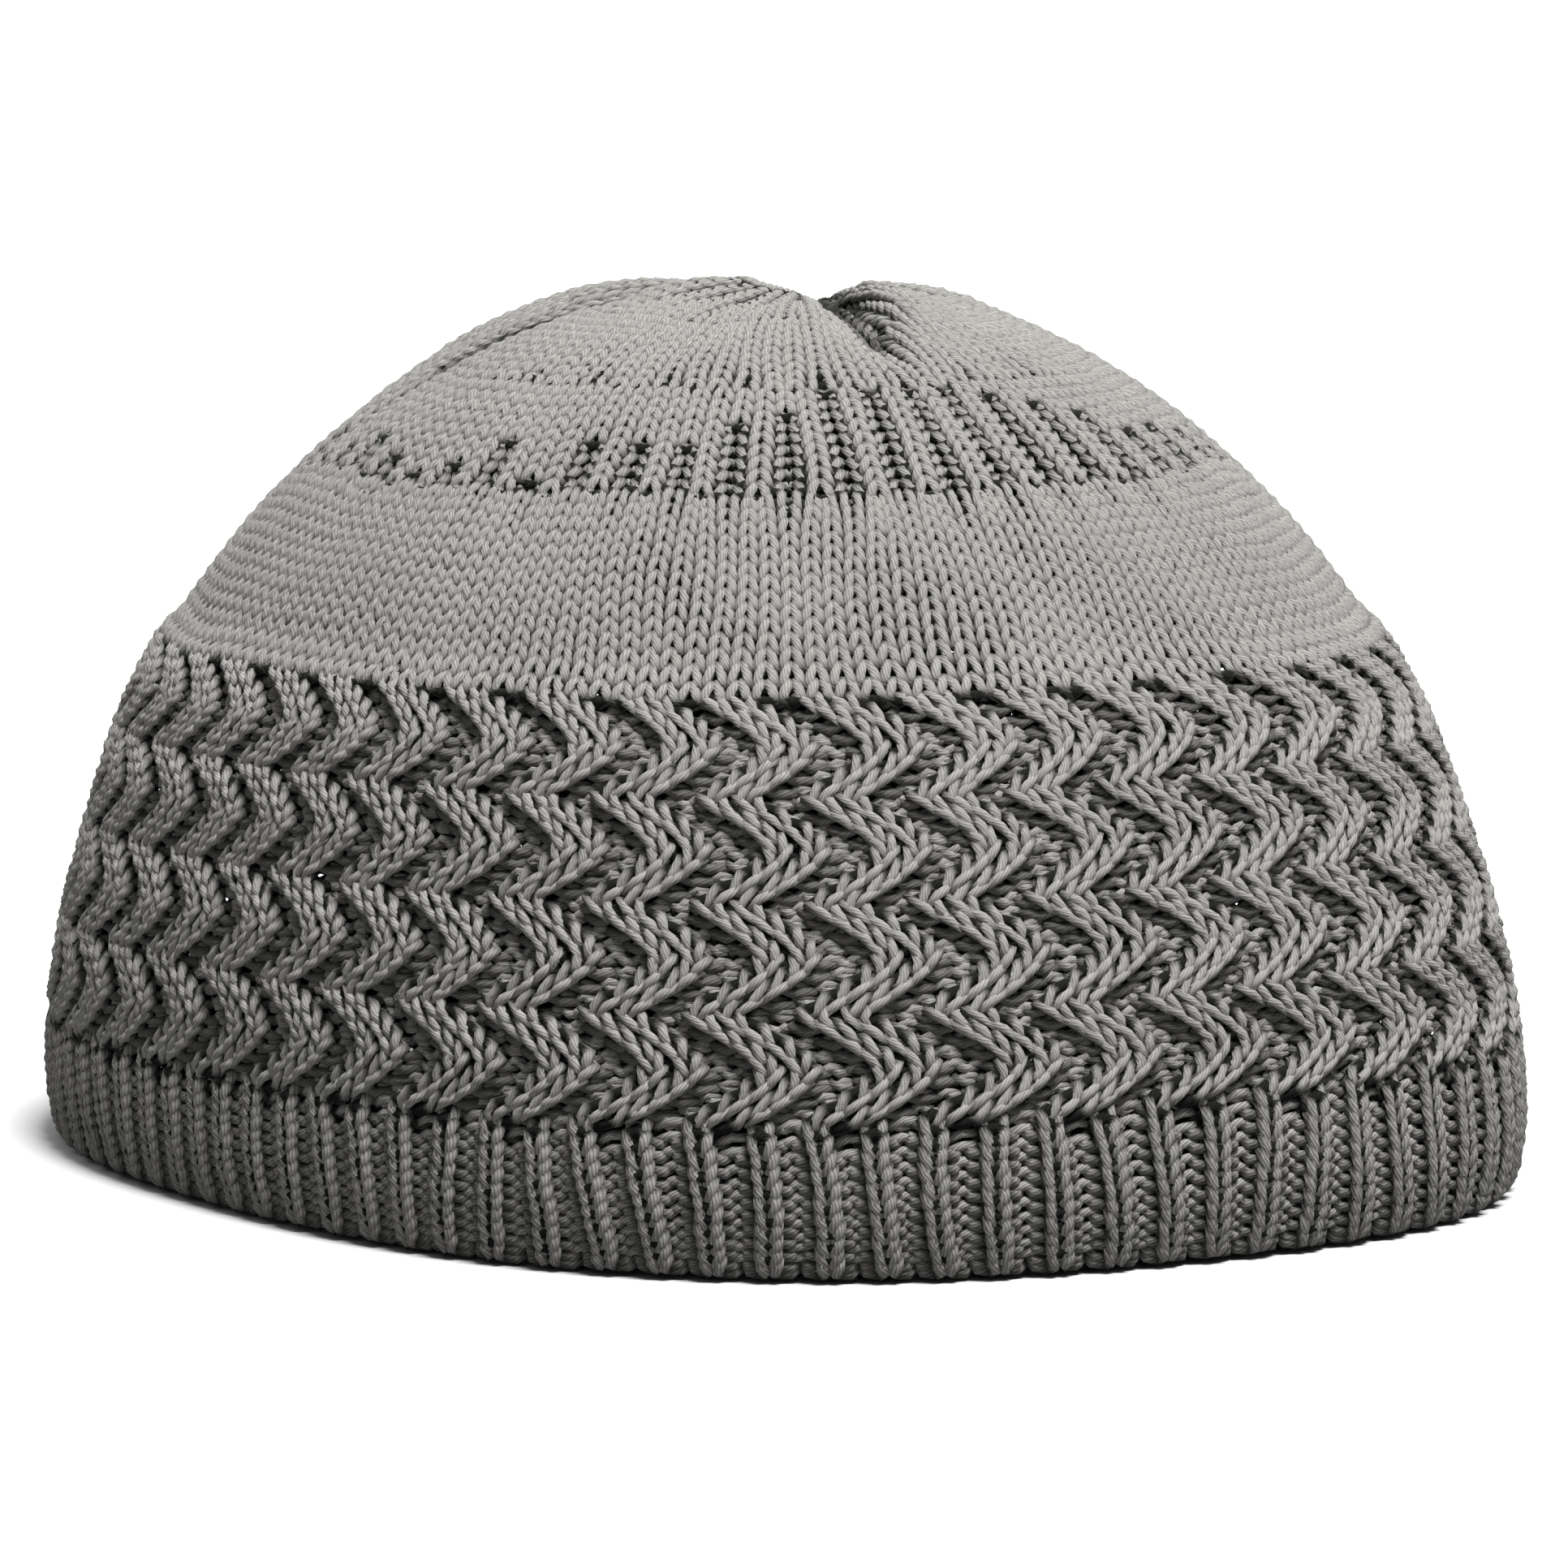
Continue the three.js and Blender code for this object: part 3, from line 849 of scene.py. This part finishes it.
band = [
    knit_piece(
        f"zigzag_band_knit_{part + 1}", [zigzag_course(number) for number in range(first, last)], zigzag_yarn,
        seed=21 + part, width=(0.31, 0.3), depth=(0.5, 0.5), shear=(0.65, 0.15), draw=(0.03, 0.0), slant=0.4,
        rise=0.8, zigzag=SWAY)
    for part, (first, last) in enumerate(BAND_PARTS)
]

# %% [markdown]
# ## The crown
#
# The crown is plain knitting, which shows rows of small V shapes. Its circle shrinks towards the top, so the
# knitter takes stitches away: three become two all round, and later four become three. The decreases don't
# lie quite level, so the courses next to them rise and fall a little round the cap.
#
# Below the first decrease the three wales of each group draw together, and the middle one goes behind. That
# leaves the small holes of a decrease without a knot having to be modelled at each one.

# %% Knit the crown below the first decrease
CROWN_START = BRIM_LENGTH + ZIGZAG_LENGTH
LOWER_COURSES, UPPER_COURSES = 14, 9
CROWN_STITCHES = 3 * GROUPS
CROWN_COLUMNS = columns_of(CROWN_STITCHES)
WANDER, WANDERS = 0.3, [(7, 0.4), (13, 2.0), (26, 0.0)]  # millimetres; waves round the cap, and phase
DRAWN, DRAWN_OVER = 0.3, 4  # how tightly a group draws together, and over how many courses
DRAWN_NARROWS, MIDDLE_SINK = 0.4, 2.6
LOWER_THINS = 0.07  # the yarn gets this much thinner as the circle shrinks


def all_knit(column):
    return np.ones(len(column))


def wander(from_decrease):
    """How far the stitches of a course lie above its place, when it is this many courses from a decrease."""
    turn = CROWN_COLUMNS / CROWN_STITCHES
    waves = sum(np.sin(math.tau * count * turn + phase) for count, phase in WANDERS)
    return WANDER * waves * max(0.0, 1 - from_decrease / UPPER_COURSES)


def draw_together(column, tight):
    """Moves the outer wales of each group of three towards the middle one."""
    return -((column + 1) % 3 - 1) * tight


def lower_course(number):
    up = CROWN_START + (number + 0.5) * FIRST_DECREASE / LOWER_COURSES
    tight = DRAWN * max(0.0, (number - LOWER_COURSES + DRAWN_OVER) / DRAWN_OVER)
    is_middle = CROWN_COLUMNS % 3 == 0
    return course(
        up + wander(LOWER_COURSES - number), CROWN_STITCHES, all_knit,
        spread=lambda column: draw_together(column, tight), loop=(1.58 if number else 1.35),
        width=1 - DRAWN_NARROWS * tight, radius=0.58 - LOWER_THINS * number / LOWER_COURSES,
        sink=is_middle * MIDDLE_SINK * tight ** 2 / DRAWN)


lower_crown = knit_piece(
    "crown_knit_lower", [lower_course(number) for number in range(LOWER_COURSES)], crown_yarn, seed=31)

# %% [markdown]
# ## The ladders
#
# Above the first decrease the wales stand in pairs, with a ladder of bars between them. As the circle
# shrinks the ladders close, most of them within three courses, and those at the front only near the next
# decrease. Each bar is charted as a stitch of its own with hardly any loop, pressed in behind the wales, so
# that one unbroken yarn still knits the whole round. Once a ladder has closed, its bars are left out.

# %% Knit the crown above the first decrease
OPEN_SIDE, OPEN_FOCUS = -104.0, 6  # the ladders stay open longest here, in degrees; how few of them do
CLOSE_ROWS, OPEN_ROWS = 1.9, 7.0  # courses in which a ladder closes, and how many more on the open side
ROWS_VARY, ROWS_VARY_MOST = 0.8, 1.2
PAIR_GAP, GAP_GROWS = 1.36, 0.14  # between the wales of a pair, in stitches; it ends halfway, at 1.5
PAIR_WIDTH, WIDTH_GROWS = 1.42, 0.08
BAR_SINK, FIRST_BAR_SINK = 2.2, 0.5  # millimetres, and what the first bar adds


def upper_spread(column, gap):
    """In every three places there are two wales, gap apart, and a bar half way to the next pair."""
    return np.choose(column % 3, [gap / 2, 0.5, 1 - gap / 2])


def share_closed(number):
    """How far each ladder has closed by this course, from 0 to 1."""
    group = (CROWN_COLUMNS + 1) // 3 % GROUPS
    towards = np.cos(math.tau * group / GROUPS - math.radians(OPEN_SIDE)).clip(0, 1) ** OPEN_FOCUS
    uneven = np.random.default_rng(33).normal(0, ROWS_VARY, GROUPS)[group]
    rows_to_close = CLOSE_ROWS + OPEN_ROWS * towards + uneven.clip(-ROWS_VARY_MOST, ROWS_VARY_MOST)
    return np.minimum(number / rows_to_close, 1.0)


def upper_course(number):
    step = (CROWN_LENGTH - FIRST_DECREASE) / UPPER_COURSES
    closed = share_closed(number)
    is_bar = CROWN_COLUMNS % 3 == 1
    round_it = course(
        CROWN_START + FIRST_DECREASE + (number + 0.5) * step + wander(number), CROWN_STITCHES, all_knit,
        spread=lambda column: upper_spread(column, PAIR_GAP + GAP_GROWS * closed),
        loop=np.where(is_bar, 0.15, 1.6), radius=np.where(is_bar, 0.5, 0.58),
        sink=np.where(is_bar, BAR_SINK + FIRST_BAR_SINK * (number == 0), 0.0))
    round_it["pitch"] *= np.where(is_bar, 0.2, PAIR_WIDTH + WIDTH_GROWS * closed)
    kept = ~is_bar | (closed < 1)
    return {key: kept.sum() if key == "stitches" else values[kept] for key, values in round_it.items()}


upper_crown = knit_piece(
    "crown_knit_upper", [upper_course(number) for number in range(UPPER_COURSES)], crown_yarn, seed=32)

# %% [markdown]
# ## The gathered top
#
# Above the second decrease there are 78 wales, and half way in they become 52, which are drawn together on
# a thread. There is hardly any room in the middle, so every second wale is pushed down under its
# neighbours, and the last courses have half as many stitches, packed tight where the thread pulls them shut.

# %% Knit the gathered top
TOP_START = CROWN_START + CROWN_LENGTH
TOP_COURSES, WIDE_COURSES, LAST_COURSES = 21, 9, 3  # in all, before the last decrease, and at the thread
CENTRE_HOLE = 1.4  # millimetres of fabric left out at the thread
TOP_DRAWN, DRAWN_LOSS, TOP_NARROWS = 0.16, 0.07, 0.7  # at a decrease, a course further off, and in width
TOP_SHIFT = 0.75  # stitches
CROWDING = (128.0, 148.0)  # it sets in and is full at these lengths
CROWD_THINS, CROWD_SINK, CROWD_WIDENS = 0.16, 1.9, 0.5
TOP_STEP = (FABRIC_LENGTH - CENTRE_HOLE - TOP_START) / TOP_COURSES


def wide_course(up, number):
    """78 wales, in groups of three that draw together a little at the decrease below and at the one above."""
    to_decrease = min(number, WIDE_COURSES - 1 - number)
    tight = max(0.0, TOP_DRAWN - DRAWN_LOSS * to_decrease)
    return course(
        up, CROWN_STITCHES // 2, all_knit, spread=lambda column: TOP_SHIFT + draw_together(column, tight),
        loop=1.58, width=1 - TOP_NARROWS * tight)


def top_course(number):
    up = TOP_START + (number + 0.5) * TOP_STEP
    if number < WIDE_COURSES:
        return wide_course(up, number)
    if number >= TOP_COURSES - LAST_COURSES:
        return course(up, GROUPS // 2, all_knit, loop=1.4, radius=0.5, width=1.2)
    crowd = smooth_step(up, *CROWDING)
    is_under = columns_of(GROUPS) % 2 == 1
    return course(
        up, GROUPS, all_knit, loop=1.58, radius=0.58 - CROWD_THINS * crowd,
        sink=np.where(is_under, CROWD_SINK * crowd, 0.0), width=1.0 + CROWD_WIDENS * crowd)


top = knit_piece(
    "gathered_top_knit", [top_course(number) for number in range(TOP_COURSES)], crown_yarn, seed=41)

# %% [markdown]
# ## Joining the pieces to the plain model
#
# Each knitted piece rides on the cap's one body and stands for the plain solid under it. Nothing on the cap
# turns or slides, so there is nothing else to join.

# %% Ride on the frame and hide the plain solids
STANDS_FOR = [
    (brim, "ribbed_brim", "ribbed_yarn"),
    *[(piece, "zigzag_band", "zigzag_yarn") for piece in band],
    (lower_crown, "plain_crown", "crown_yarn"),
    (upper_crown, "plain_crown", "crown_yarn"),
    (top, "gathered_top", "crown_yarn"),
]
for piece, node_name, slot in STANDS_FOR:
    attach(piece, "root")
    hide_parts(node_name)
bpy.data.objects.remove(form)
print("triangles in all:", sum(len(piece.data.loop_triangles) for piece, _, _ in STANDS_FOR))

# %% [markdown]
# ## The studio
#
# A pale floor and a big soft light above, a little to the front, with a weak fill and a weak light behind.
# The floor and the backdrop look pale to the camera but throw little light on the cap, so that its foot
# stays dark. A plain white floor would be simpler, but it would light the brim from below.

# %% Lay the floor
FLOOR_HALF = 6.0
FLOOR_BOUNCE, FLOOR_SEEN_EXTRA = 0.22, 0.68  # the tone that lights the cap, and what the camera sees more
GLOW, GLOW_SEEN_EXTRA = 0.06, 0.91  # the same of the backdrop


def tone_to_camera(tree, tone, seen_extra):
    """One tone for the light that is thrown on, and a brighter one for the camera."""
    seen = node_of(tree, "ShaderNodeLightPath")
    return out(seen, "Is Camera Ray") * seen_extra + tone


def studio_floor():
    mesh = bpy.data.meshes.new("floor")
    corners = [(x * FLOOR_HALF, y * FLOOR_HALF, 0) for x, y in ((-1, -1), (1, -1), (1, 1), (-1, 1))]
    mesh.from_pydata(corners, [], [(0, 1, 2, 3)])
    floor = add_object("floor", mesh)
    material = bpy.data.materials.new("pale floor")
    tree = empty_tree(material)
    pale = tone_to_camera(tree, FLOOR_BOUNCE, FLOOR_SEEN_EXTRA)
    tone = node_of(tree, "ShaderNodeCombineColor", {"Red": pale, "Green": pale, "Blue": pale})
    paper = node_of(tree, "ShaderNodeBsdfPrincipled", {
        "Base Color": out(tone), "Roughness": 0.9, "Specular IOR Level": 0.1})
    node_of(tree, "ShaderNodeOutputMaterial", {"Surface": out(paper)})
    mesh.materials.append(material)


studio_floor()
print("floor:", 2 * FLOOR_HALF, "m wide")


# %% Light the cap
def soft_sun(name, azimuth, elevation, spread, strength):
    """Light from far away, so it is even over the floor. spread is how wide the source looks, in degrees."""
    light = bpy.data.lights.new(name, "SUN")
    light.angle, light.energy = math.radians(spread), strength
    lamp = add_object(name, light)
    lamp.rotation_euler = (math.radians(90 - elevation), 0.0, math.radians(azimuth))


def studio_backdrop():
    world = bpy.data.worlds.new("studio")
    tree = empty_tree(world)
    glow = tone_to_camera(tree, GLOW, GLOW_SEEN_EXTRA)
    backdrop = node_of(tree, "ShaderNodeBackground", {"Color": (1.0, 1.0, 1.0, 1.0), "Strength": glow})
    node_of(tree, "ShaderNodeOutputWorld", {"Surface": out(backdrop)})
    return world


soft_sun("key light", azimuth=2, elevation=67, spread=26, strength=4.65)
soft_sun("fill light", azimuth=-40, elevation=25, spread=60, strength=0.1)
soft_sun("back light", azimuth=165, elevation=42, spread=70, strength=1.1)
bpy.context.scene.world = studio_backdrop()
bpy.context.scene.view_settings.view_transform = "Standard"

# %% [markdown]
# ## The camera
#
# A long lens from a little over a metre away, a little higher than the cap, so that the dome is seen nearly
# from the side. A short lens close by would show more of the top and swell the front of the brim.

# %% Place the camera
def place_camera(azimuth, elevation, distance, lens, aim_right, aim_up):
    a, e = math.radians(azimuth), math.radians(elevation)
    right = np.array([math.cos(a), math.sin(a), 0.0])
    up = np.array([-math.sin(a) * math.sin(e), math.cos(a) * math.sin(e), math.cos(e)])
    back = np.array([math.sin(a) * math.cos(e), -math.cos(a) * math.cos(e), math.sin(e)])
    aim = right * aim_right + up * aim_up
    away = back * distance - aim
    camera = add_object("camera", bpy.data.cameras.new("camera"))
    camera.data.lens, camera.data.sensor_width = lens, 36.0
    camera.data.clip_start, camera.data.clip_end = 0.05, 50.0
    camera.location = back * distance
    across = math.hypot(away[0], away[1])
    camera.rotation_euler = (math.atan2(across, away[2]), 0.0, math.atan2(away[0], -away[1]))
    bpy.context.scene.camera = camera
    return camera


camera = place_camera(
    azimuth=-31.1, elevation=8.84, distance=1132.8 * MM, lens=216.8, aim_right=1.47 * MM, aim_up=44.4 * MM)
print("camera at", tuple(round(c, 3) for c in camera.location))

# %% Finish
bpy.context.view_layer.update()
